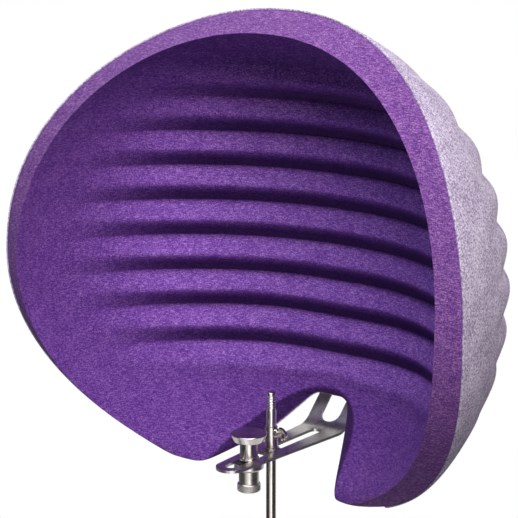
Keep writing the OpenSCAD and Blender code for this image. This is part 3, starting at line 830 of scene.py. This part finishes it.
def metal(name, clean, stained, smoothest, roughest, relief, waves=None, axis=(0, 0, 0)):
    """Metal with marks round an axis, or with brushed marks where waves are given."""
    material, tree, shader = new_material(name)
    values = {
        "Clean": (*clean, 1),
        "Stained": (*stained, 1),
        "Smoothest": smoothest,
        "Roughest": roughest,
    }
    if waves:
        marks = place(tree, BRUSHED_MARKS, {**values, "Waves": waves})
    else:
        marks = place(tree, TURNED_MARKS, {**values, "Axis": axis})
    tree.links.new(marks.outputs["Color"], shader.inputs["Base Color"])
    tree.links.new(marks.outputs["Roughness"], shader.inputs["Roughness"])
    shader.inputs["Metallic"].default_value = 1.0
    if not waves:
        shader.inputs["Anisotropic"].default_value = TURNED_STRETCH
        round_axis = tree.nodes.new("ShaderNodeTangent")
        round_axis.direction_type = "RADIAL"
        round_axis.axis = "Z"
        tree.links.new(round_axis.outputs["Tangent"], shader.inputs["Tangent"])
    bump(tree, marks.outputs["Height"], shader, relief, MARK_RELIEF_DEPTH)
    return material


def moulded(name, dark, light, smoothest, roughest, grain):
    """Moulded rubber or plastic with a fine grain."""
    material, tree, shader = new_material(name)
    skin = place(
        tree,
        BRUSHED_MARKS,
        {
            "Clean": (*light, 1),
            "Stained": (*dark, 1),
            "Smoothest": smoothest,
            "Roughest": roughest,
            "Waves": (grain, grain, grain),
        },
    )
    tree.links.new(skin.outputs["Color"], shader.inputs["Base Color"])
    tree.links.new(skin.outputs["Roughness"], shader.inputs["Roughness"])
    bump(tree, skin.outputs["Height"], shader, GRAIN_RELIEF, GRAIN_RELIEF_DEPTH)
    return material


PURPLE_FELT = felt(
    "purple felt",
    dark=(0.060, 0.0125, 0.160),
    main=(0.145, 0.042, 0.320),
    light=(0.37, 0.17, 0.53),
    fineness=0.9,
    speckle=2.4,
    streaks=1.6,
    mottle=0.3,
    sheen=0.15,
)
GREY_FELT = felt(
    "grey felt",
    dark=(0.27, 0.20, 0.34),
    main=(0.62, 0.525, 0.74),
    light=(0.92, 0.84, 1.0),
    fineness=0.55,
    speckle=4.5,
    streaks=1.0,
    mottle=0.8,
    sheen=0.1,
)
# The rod's upright axis in metres, and the fine steel of the turned pieces
ROD_AXIS = (0.0, 0.0385, 0.0)
FINE_STEEL = {
    "clean": (0.76, 0.71, 0.67),
    "stained": (0.62, 0.57, 0.54),
    "smoothest": 0.14,
    "roughest": 0.28,
    "relief": 0.25,
}
BRIGHT_STEEL = metal("bright steel", **FINE_STEEL)
ROD_STEEL = metal("rod steel", **FINE_STEEL, axis=ROD_AXIS)
SATIN_STEEL = metal(
    "satin steel",
    clean=(0.70, 0.66, 0.63),
    stained=(0.58, 0.54, 0.52),
    smoothest=0.20,
    roughest=0.36,
    relief=0.3,
)
BRUSHED_STEEL = metal(
    "brushed steel",
    clean=(0.68, 0.65, 0.64),
    stained=(0.54, 0.51, 0.50),
    smoothest=0.22,
    roughest=0.38,
    relief=0.3,
    waves=(2200, 40, 900),
)
PLAIN_STEEL = metal(
    "plain steel",
    clean=(0.52, 0.52, 0.53),
    stained=(0.42, 0.42, 0.43),
    smoothest=0.3,
    roughest=0.5,
    relief=0.3,
    waves=(300, 300, 300),
)
BRASS = metal(
    "plain brass",
    clean=(0.72, 0.55, 0.28),
    stained=(0.58, 0.42, 0.20),
    smoothest=0.25,
    roughest=0.4,
    relief=0.3,
    waves=(400, 400, 400),
)
RUBBER = moulded(
    "black rubber",
    dark=(0.012, 0.012, 0.013),
    light=(0.03, 0.03, 0.032),
    smoothest=0.6,
    roughest=0.85,
    grain=900,
)
PLASTIC = moulded(
    "black plastic",
    dark=(0.02, 0.02, 0.022),
    light=(0.045, 0.045, 0.048),
    smoothest=0.4,
    roughest=0.6,
    grain=1400,
)


# Pieces in the nodes' places

bodies = frame["record"]["behaviour"]["bodies"]
BODY_OF = {node: body for body, members in bodies.items() for node in members}


def stands_for(piece, node, material):
    """Puts a piece in a node's place, with the node's body and a material."""
    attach(piece, BODY_OF[node])
    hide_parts(node)
    piece.data.materials.append(material)


stands_for(inner_felt, "inner_shell", PURPLE_FELT)
stands_for(outer_felt, "outer_shell", GREY_FELT)


# Turned hardware, in millimetres

ROUND_STEPS = 96
# Rounded corners of profiles: their steps, and the most that one takes of the lines beside it
CORNER_STEPS = 4
CORNER_LIMIT = 0.48
# Radii of edges
SOFT_EDGE = 0.5
SMALL_EDGE = 0.4
THIN_EDGE = 0.3
ROD_EDGE = 0.35
WING_EDGE = 0.7


def span(node):
    """A node's lowest and highest level and its greatest radius in millimetres, for turned pieces."""
    low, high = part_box(node)
    return low.z / MM, high.z / MM, (high.x - low.x) / 2 / MM


def rounded(profile, radius):
    """A profile with its corners rounded, all but its two ends."""
    points = [np.array(p, float) for p in profile]
    result = [points[0]]
    for before, corner, after in zip(points, points[1:], points[2:]):
        length_in = np.linalg.norm(before - corner)
        length_out = np.linalg.norm(after - corner)
        cut = min(radius, CORNER_LIMIT * length_in, CORNER_LIMIT * length_out)
        into = (before - corner) / length_in * cut
        onto = (after - corner) / length_out * cut
        for t in np.linspace(0, 1, CORNER_STEPS + 1):
            result.append(corner + into * (1 - t) ** 2 + onto * t**2)
    result.append(points[-1])
    return result


def fine_rows(profile, near, low, high, step):
    """A profile with close rows where it keeps one radius between two heights, for threads and knurls."""
    result = [profile[0]]
    for a, b in zip(profile, profile[1:]):
        level = abs(a[0] - near) < WELD and abs(b[0] - near) < WELD
        if level and min(a[1], b[1]) < high and max(a[1], b[1]) > low:
            count = max(1, round(abs(b[1] - a[1]) / step))
            result += [mix(a, b, k / count) for k in range(1, count)]
        result.append(b)
    return result


def turned(name, profile, centre_y=0.0, steps=ROUND_STEPS, relief=None):
    """A turned piece from a profile of radii and heights, with an optional relief of its surface."""
    radius, height = (column[:, None] * np.ones(steps) for column in np.array(profile).T)
    turn = np.linspace(0, 2 * np.pi, steps, endpoint=False)[None, :]
    if relief:
        radius = radius + relief(radius, height, turn)
    points = np.stack([radius * np.cos(turn), centre_y + radius * np.sin(turn), height], -1)
    faces = []
    for i in range(len(profile) - 1):
        for j in range(steps):
            k = (j + 1) % steps
            faces.append([i * steps + j, i * steps + k, (i + 1) * steps + k, (i + 1) * steps + j])
    piece = solid(name, points.reshape(-1, 3), faces)
    piece.modifiers.new("even shading", "WEIGHTED_NORMAL")
    return piece


def zigzag(turns):
    """A wave that falls from 1 to 0 and rises back in each turn."""
    return np.abs(2 * (turns % 1) - 1)


def run_out(height, pitch, low, high):
    """Strength of a relief that runs out at both ends, over half of its pitch."""
    return smooth((height - low) / pitch * 2) * smooth((high - height) / pitch * 2)


def thread(pitch, depth, near, low, high):
    """Relief of a screw thread on the surface near a radius, between two heights."""
    def relief(radius, height, turn):
        wave = zigzag(height / pitch - turn / (2 * np.pi))
        cut = depth * (smooth(wave) - 1) * run_out(height, pitch, low, high)
        return np.where(np.abs(radius - near) < WELD, cut, 0)
    return relief


def knurl(count, pitch, depth, near, low, high):
    """Relief of small diamonds on the surface near a radius, between two heights."""
    def relief(radius, height, turn):
        across = turn * count / (2 * np.pi)
        up = height / pitch
        diamond = 1 - np.maximum(zigzag(across + up), zigzag(across - up))
        painted_light = depth * (diamond * 2 - 1) * run_out(height, pitch, low, high)
        return np.where(np.abs(radius - near) < WELD, painted_light, 0)
    return relief


def ring(bore, radius, low, high, foot=0.0, foot_h=0.0):
    """Profile of a ring, whose lower outer edge may slope by a foot's width and height."""
    middle = (low + high) / 2
    slope = [(radius - foot, low), (radius, low + foot_h)] if foot else [(radius, low)]
    return [(bore, middle), (bore, low), *slope, (radius, high), (bore, high), (bore, middle)]


# Stud of the knob, its bore in the adaptor with the bore's floor, and the looser bores of the washers
STUD_R = 4.0
STUD_BORE_R = 4.06
STUD_BORE_LOW = 18.5
LOOSE_BORE_R = 4.3

# Knob
low, high, knob_r = span("clamp_knob")
KNOB_LOW_R = 15.5
SHANK_R = 9.3
SHANK_LEN = 17.8
KNOB_CHAMFER = 0.8
knob = turned("knob", rounded([
    (0, high),
    (knob_r - KNOB_CHAMFER, high),
    (knob_r, high - KNOB_CHAMFER),
    (KNOB_LOW_R, low + SHANK_LEN),
    (SHANK_R, low + SHANK_LEN),
    (SHANK_R, low),
    (STUD_R, low),
    (STUD_R, low + SHANK_LEN),
    (0, low + SHANK_LEN),
], SOFT_EDGE))
stands_for(knob, "clamp_knob", BRIGHT_STEEL)

# Washer under the knob
low, high, washer_r = span("knob_washer")
washer = turned("washer_of_knob", rounded(ring(LOOSE_BORE_R, washer_r, low, high), SMALL_EDGE))
stands_for(washer, "knob_washer", BRIGHT_STEEL)

# Flange with a sloping foot
low, high, flange_r = span("clamp_flange")
NECK_R = 7.0
FLANGE_FOOT_W = 4.0
FLANGE_FOOT_H = 2.6
flange = turned("flange", rounded(
    ring(NECK_R, flange_r, low, high, FLANGE_FOOT_W, FLANGE_FOOT_H), SOFT_EDGE
))
stands_for(flange, "clamp_flange", SATIN_STEEL)

# Friction washer
low, high, friction_r = span("friction_washer")
friction = turned("friction_disc", rounded(ring(LOOSE_BORE_R, friction_r, low, high), THIN_EDGE))
stands_for(friction, "friction_washer", RUBBER)

# Knurled ring
low, high, grip_r = span("grip_ring")
ADAPTOR_R = 10.5
GRIP_CHAMFER = 1.0
KNURL_EDGE = 1.3
KNURL_COUNT = 48
KNURL_PITCH = 1.6
KNURL_DEPTH = 0.28
KNURL_ROW = 0.3
KNURL_STEPS = 288
grip = turned(
    "knurled_ring",
    fine_rows(rounded([
        (ADAPTOR_R, (low + high) / 2),
        (ADAPTOR_R, low),
        (grip_r - GRIP_CHAMFER, low),
        (grip_r, low + GRIP_CHAMFER),
        (grip_r, high - GRIP_CHAMFER),
        (grip_r - GRIP_CHAMFER, high),
        (ADAPTOR_R, high),
        (ADAPTOR_R, (low + high) / 2),
    ], SMALL_EDGE), grip_r, low, high, KNURL_ROW),
    steps=KNURL_STEPS,
    relief=knurl(
        KNURL_COUNT, KNURL_PITCH, KNURL_DEPTH, grip_r, low + KNURL_EDGE, high - KNURL_EDGE
    ),
)
stands_for(grip, "grip_ring", SATIN_STEEL)

# Adaptor with the stand's threaded socket
low, high, _ = span("stand_adaptor")
SOCKET_R = 7.45
SOCKET_DEPTH = 16.0
SOCKET_PITCH = 0.94
SOCKET_THREAD_DEPTH = 0.3
SOCKET_THREAD_START = 0.6
SOCKET_THREAD_END = 15.0
SOCKET_ROW = 0.16
ADAPTOR_H = 22.5
adaptor = turned(
    "adaptor",
    fine_rows(rounded([
        (0, low + SOCKET_DEPTH),
        (SOCKET_R, low + SOCKET_DEPTH),
        (SOCKET_R, low),
        (ADAPTOR_R, low),
        (ADAPTOR_R, low + ADAPTOR_H),
        (NECK_R, low + ADAPTOR_H),
        (NECK_R, high),
        (STUD_BORE_R, high),
        (STUD_BORE_R, STUD_BORE_LOW),
        (0, STUD_BORE_LOW),
    ], SMALL_EDGE), SOCKET_R, low, low + SOCKET_DEPTH, SOCKET_ROW),
    relief=thread(
        SOCKET_PITCH,
        -SOCKET_THREAD_DEPTH,
        SOCKET_R,
        low + SOCKET_THREAD_START,
        low + SOCKET_THREAD_END,
    ),
)
stands_for(adaptor, "stand_adaptor", SATIN_STEEL)

# Rod with its threaded tip
low, high, rod_r = span("mic_rod")
rod_y = ROD_AXIS[1] / MM
ROD_SHOULDER = 78.0
ROD_CHAMFER = 0.8
TIP_R = 4.75
TIP_CAP = 3.6
TIP_PITCH = 2.75
TIP_THREAD_DEPTH = 1.0
TIP_THREAD_START = 0.8
TIP_ROW = 0.18
rod = turned(
    "rod",
    fine_rows(rounded([
        (0, low),
        (rod_r - ROD_CHAMFER, low),
        (rod_r, low + ROD_CHAMFER),
        (rod_r, ROD_SHOULDER),
        (TIP_R, ROD_SHOULDER),
        (TIP_R, high - ROD_CHAMFER),
        (TIP_R - ROD_CHAMFER, high),
        (0, high),
    ], ROD_EDGE), TIP_R, ROD_SHOULDER, high, TIP_ROW),
    rod_y,
    relief=thread(
        TIP_PITCH, TIP_THREAD_DEPTH, TIP_R, ROD_SHOULDER + TIP_THREAD_START, high - TIP_CAP
    ),
)
stands_for(rod, "mic_rod", ROD_STEEL)

# Washer under the bracket
low, high, post_washer_r = span("post_washer")
SPIGOT_BORE_R = 6.35
post_profile = rounded(ring(SPIGOT_BORE_R, post_washer_r, low, high), SMALL_EDGE)
stands_for(turned("washer_of_post", post_profile, rod_y), "post_washer", PLAIN_STEEL)


# Hardware with rounded edges, from the nodes' own solids

def edged(name, node, edge):
    """A node's solid with its edges rounded."""
    mesh = nodes[node].data
    points = [v.co / MM for v in mesh.vertices]
    piece = solid(name, points, [list(face.vertices) for face in mesh.polygons], edge)
    piece.modifiers.new("even shading", "WEIGHTED_NORMAL")
    return piece


# The bracket's bend: its corner, its slope, its radius in the node's solid and the wider radius it gets,
# and the cuts made on either side of it
BEND_Y = 135.7
BEND_Z = span("knob_washer")[0]
BEND_SLOPE = math.radians(45)
SOLID_BEND_R = 10.0
WIDE_BEND_R = 26.0
BEND_CUTS = 6


def bend_lead(radius):
    """Distance from a bend's corner to the ends of its arc."""
    return radius * math.tan(BEND_SLOPE / 2)


def widened_bend(piece):
    """Bends a piece along a wider arc, between the same flat plate and the same arms."""
    lead = bend_lead(SOLID_BEND_R)
    wider = bend_lead(WIDE_BEND_R)
    rise = Vector((0, math.cos(BEND_SLOPE), math.sin(BEND_SLOPE)))
    corner = Vector((0, BEND_Y, BEND_Z))
    work = bmesh.new()
    work.from_mesh(piece.data)
    for way in (Vector((0, -1, 0)), rise):
        for far in np.linspace(lead, wider, BEND_CUTS):
            geometry = [*work.verts, *work.edges, *work.faces]
            cut_at = (corner + way * far) * MM
            bmesh.ops.bisect_plane(work, geom=geometry, plane_co=cut_at, plane_no=way)
    whole = SOLID_BEND_R * BEND_SLOPE + 2 * (wider - lead)
    for v in work.verts:
        y = v.co.y / MM - BEND_Y + lead
        z = BEND_Z + SOLID_BEND_R - v.co.z / MM
        heading = min(max(math.atan2(y, z), 0.0), BEND_SLOPE)
        ahead = y * math.cos(heading) - z * math.sin(heading)
        under = y * math.sin(heading) + z * math.cos(heading) - SOLID_BEND_R
        share = (SOLID_BEND_R * heading + ahead + wider - lead) / whole
        if 0 < share < 1:
            radius = WIDE_BEND_R + under
            v.co.y = (BEND_Y - wider + radius * math.sin(share * BEND_SLOPE)) * MM
            v.co.z = (BEND_Z + WIDE_BEND_R - radius * math.cos(share * BEND_SLOPE)) * MM
    work.to_mesh(piece.data)
    work.free()
    piece.data.shade_smooth()
    return piece


bracket_plate = widened_bend(edged("bracket_plate", "bracket", SOFT_EDGE))
stands_for(bracket_plate, "bracket", BRUSHED_STEEL)
for name, node, edge, material in (
    ("sleeve", "post_sleeve", SMALL_EDGE, ROD_STEEL),
    ("wing_screw_part", "lock_screw", WING_EDGE, BRIGHT_STEEL),
    ("nut_of_post", "post_nut", SMALL_EDGE, PLAIN_STEEL),
    ("hex_bolts", "bracket_bolts", SMALL_EDGE, PLAIN_STEEL),
    ("washers_of_bolts", "bolt_washers", THIN_EDGE, PLAIN_STEEL),
    ("rubber_spacers", "bracket_spacers", SOFT_EDGE, RUBBER),
    ("nuts_in_shell", "insert_nuts", THIN_EDGE, BRASS),
    ("bush", "slot_bush", SMALL_EDGE, PLASTIC),
    ("stud", "clamp_stud", SMALL_EDGE, PLAIN_STEEL),
    ("soft_tip", "lock_tip", THIN_EDGE, BRASS),
):
    stands_for(edged(name, node, edge), node, material)


# Studio, in metres

TARGET = Vector((0.0, 0.01735, 0.2423))
VIEW_AZIMUTH = math.radians(36.94)
VIEW_ELEVATION = math.radians(12.75)
VIEW_DISTANCE = 2.002
VIEW_END = 200.0
# Lens and sensor in millimetres
LENS = 137.1
SENSOR = 36.0


def direction(azimuth, elevation):
    """The way from the target to a place round it, with azimuth 0 straight in front of the bowl."""
    return Vector(
        (
            math.sin(azimuth) * math.cos(elevation),
            -math.cos(azimuth) * math.cos(elevation),
            math.sin(elevation),
        )
    )


camera_data = bpy.data.cameras.new("camera")
camera_data.lens = LENS
camera_data.sensor_width = SENSOR
camera_data.clip_end = VIEW_END
camera = bpy.data.objects.new("camera", camera_data)
back = direction(VIEW_AZIMUTH, VIEW_ELEVATION)
camera.location = TARGET + back * VIEW_DISTANCE
camera.rotation_mode = "QUATERNION"
camera.rotation_quaternion = (-back).to_track_quat("-Z", "Y")
bpy.context.scene.collection.objects.link(camera)
bpy.context.scene.camera = camera
bpy.context.scene.view_settings.view_transform = "Standard"


WHITE_LIGHT = (1.0, 1.0, 1.0)
WARM_LIGHT = (1.0, 0.95, 0.93)
COOL_LIGHT = (0.80, 0.86, 1.0)
SOFTBOX_DISTANCE = 2.2


def softbox(name, azimuth, elevation, width, height, power, colour):
    """A rectangular light that faces the target, placed by angles in degrees."""
    data = bpy.data.lights.new(name, "AREA")
    data.color = colour
    data.shape = "RECTANGLE"
    data.size = width
    data.size_y = height
    data.energy = power
    lamp = bpy.data.objects.new(name, data)
    away = direction(math.radians(azimuth), math.radians(elevation))
    lamp.location = TARGET + away * SOFTBOX_DISTANCE
    lamp.rotation_mode = "QUATERNION"
    lamp.rotation_quaternion = away.to_track_quat("Z", "Y")
    bpy.context.scene.collection.objects.link(lamp)


# Azimuth, elevation, width, height, power and colour of each light
softbox("key softbox", 52, 42, 1.3, 0.9, 46, WARM_LIGHT)
softbox("top softbox", -8, 56, 1.2, 1.0, 19, COOL_LIGHT)
softbox("rear softbox", 150, 62, 1.0, 1.0, 13, WHITE_LIGHT)
softbox("back softbox", 255, 32, 1.5, 1.0, 14, WHITE_LIGHT)
softbox("left fill", -75, -8, 1.0, 1.0, 3, COOL_LIGHT)
softbox("low fill", 45, -25, 1.0, 1.0, 5, WHITE_LIGHT)

world = bpy.data.worlds.new("studio")
world.use_nodes = True
bpy.context.scene.world = world
sky = world.node_tree
backdrop = sky.nodes["Background"]
backdrop.inputs["Color"].default_value = (1, 1, 1, 1)
sky_ways = sky.nodes.new("ShaderNodeTexCoord").outputs["Generated"]
sky_parts = sky.nodes.new("ShaderNodeSeparateXYZ")
sky.links.new(sky_ways, sky_parts.inputs[0])
sky_height = sky_parts.outputs["Z"]


def facing(way):
    """How much the sky's directions face a way, from -1 to 1."""
    dot = sky.nodes.new("ShaderNodeVectorMath")
    dot.operation = "DOT_PRODUCT"
    sky.links.new(sky_ways, dot.inputs[0])
    dot.inputs[1].default_value = way
    return dot.outputs["Value"]


def between(value, limits, levels, course="SMOOTHSTEP"):
    """A step from one level to another while a value passes between its limits."""
    step = sky.nodes.new("ShaderNodeMapRange")
    step.interpolation_type = course
    for label, number in zip(("From Min", "From Max", "To Min", "To Max"), (*limits, *levels)):
        step.inputs[label].default_value = number
    sky.links.new(value, step.inputs["Value"])
    return step.outputs["Result"]


def either(use, first, second):
    """The first strength, or the second one where use is set."""
    pick = sky.nodes.new("ShaderNodeMix")
    pick.data_type = "FLOAT"
    sky.links.new(use, pick.inputs["Factor"])
    sky.links.new(first, pick.inputs["A"])
    if isinstance(second, float):
        pick.inputs["B"].default_value = second
    else:
        sky.links.new(second, pick.inputs["B"])
    return pick.outputs["Result"]


# Soft light of the sky, from its foot to its top
SKY_HEIGHTS = (-0.6, 0.9)
SKY_STRENGTHS = (0.01, 0.05)
soft_light = between(sky_height, SKY_HEIGHTS, SKY_STRENGTHS, "LINEAR")

# Bright panel in front, and white paper behind and below, as the steel mirrors them.
# Each edge is a pair of limits over which a strength fades.
PANEL_AZIMUTH = math.radians(21)
PANEL_STRENGTH = 0.85
PANEL_SIDES = (0.30, 0.42)
PANEL_FRONT = (0.0, 0.3)
PANEL_FOOT = (-0.55, -0.4)
PANEL_FOOT_SHARE = 0.15
PANEL_HEAD = (0.25, 0.4)
PAPER_STRENGTH = 0.7
PAPER_BEHIND = (-0.75, -0.55)
PAPER_BELOW = (-0.62, -0.42)
DARK_STRENGTH = 0.035
in_front = facing(direction(PANEL_AZIMUTH, 0.0))
aside = math_node(sky, "ABSOLUTE", facing(direction(PANEL_AZIMUTH + math.pi / 2, 0.0)))
panel = between(aside, PANEL_SIDES, (PANEL_STRENGTH, 0.0))
for value, limits, levels in (
    (in_front, PANEL_FRONT, (0.0, 1.0)),
    (sky_height, PANEL_FOOT, (PANEL_FOOT_SHARE, 1.0)),
    (sky_height, PANEL_HEAD, (1.0, 0.0)),
):
    panel = math_node(sky, "MULTIPLY", panel, between(value, limits, levels))
paper = between(in_front, PAPER_BEHIND, (PAPER_STRENGTH, 0.0))
paper_below = between(sky_height, PAPER_BELOW, (PAPER_STRENGTH, DARK_STRENGTH))
mirrored = math_node(sky, "ADD", panel, math_node(sky, "ADD", paper, paper_below))
sky_path = sky.nodes.new("ShaderNodeLightPath")
lit = either(sky_path.outputs["Is Glossy Ray"], soft_light, mirrored)
seen = either(sky_path.outputs["Is Camera Ray"], lit, 1.0)
sky.links.new(seen, backdrop.inputs["Strength"])

# Pale floor, well under the part
FLOOR_Z = -0.75
FLOOR_REACH = 60
FLOOR_GREY = (0.25, 0.25, 0.26, 1)
FLOOR_ROUGHNESS = 0.9
floor_mesh = bpy.data.meshes.new("floor")
floor_mesh.from_pydata(
    [(x * FLOOR_REACH, y * FLOOR_REACH, FLOOR_Z) for x, y in ((-1, -1), (1, -1), (1, 1), (-1, 1))],
    [],
    [(0, 1, 2, 3)],
)
floor = bpy.data.objects.new("floor", floor_mesh)
bpy.context.scene.collection.objects.link(floor)
pale, pale_tree, shader = new_material("pale floor")
shader.inputs["Base Color"].default_value = FLOOR_GREY
shader.inputs["Roughness"].default_value = FLOOR_ROUGHNESS
glow = pale_tree.nodes.new("ShaderNodeEmission")
choose = pale_tree.nodes.new("ShaderNodeMixShader")
floor_path = pale_tree.nodes.new("ShaderNodeLightPath")
pale_tree.links.new(floor_path.outputs["Is Camera Ray"], choose.inputs["Fac"])
pale_tree.links.new(shader.outputs[0], choose.inputs[1])
pale_tree.links.new(glow.outputs[0], choose.inputs[2])
pale_tree.links.new(choose.outputs[0], pale_tree.nodes["Material Output"].inputs["Surface"])
floor_mesh.materials.append(pale)
floor.visible_glossy = False
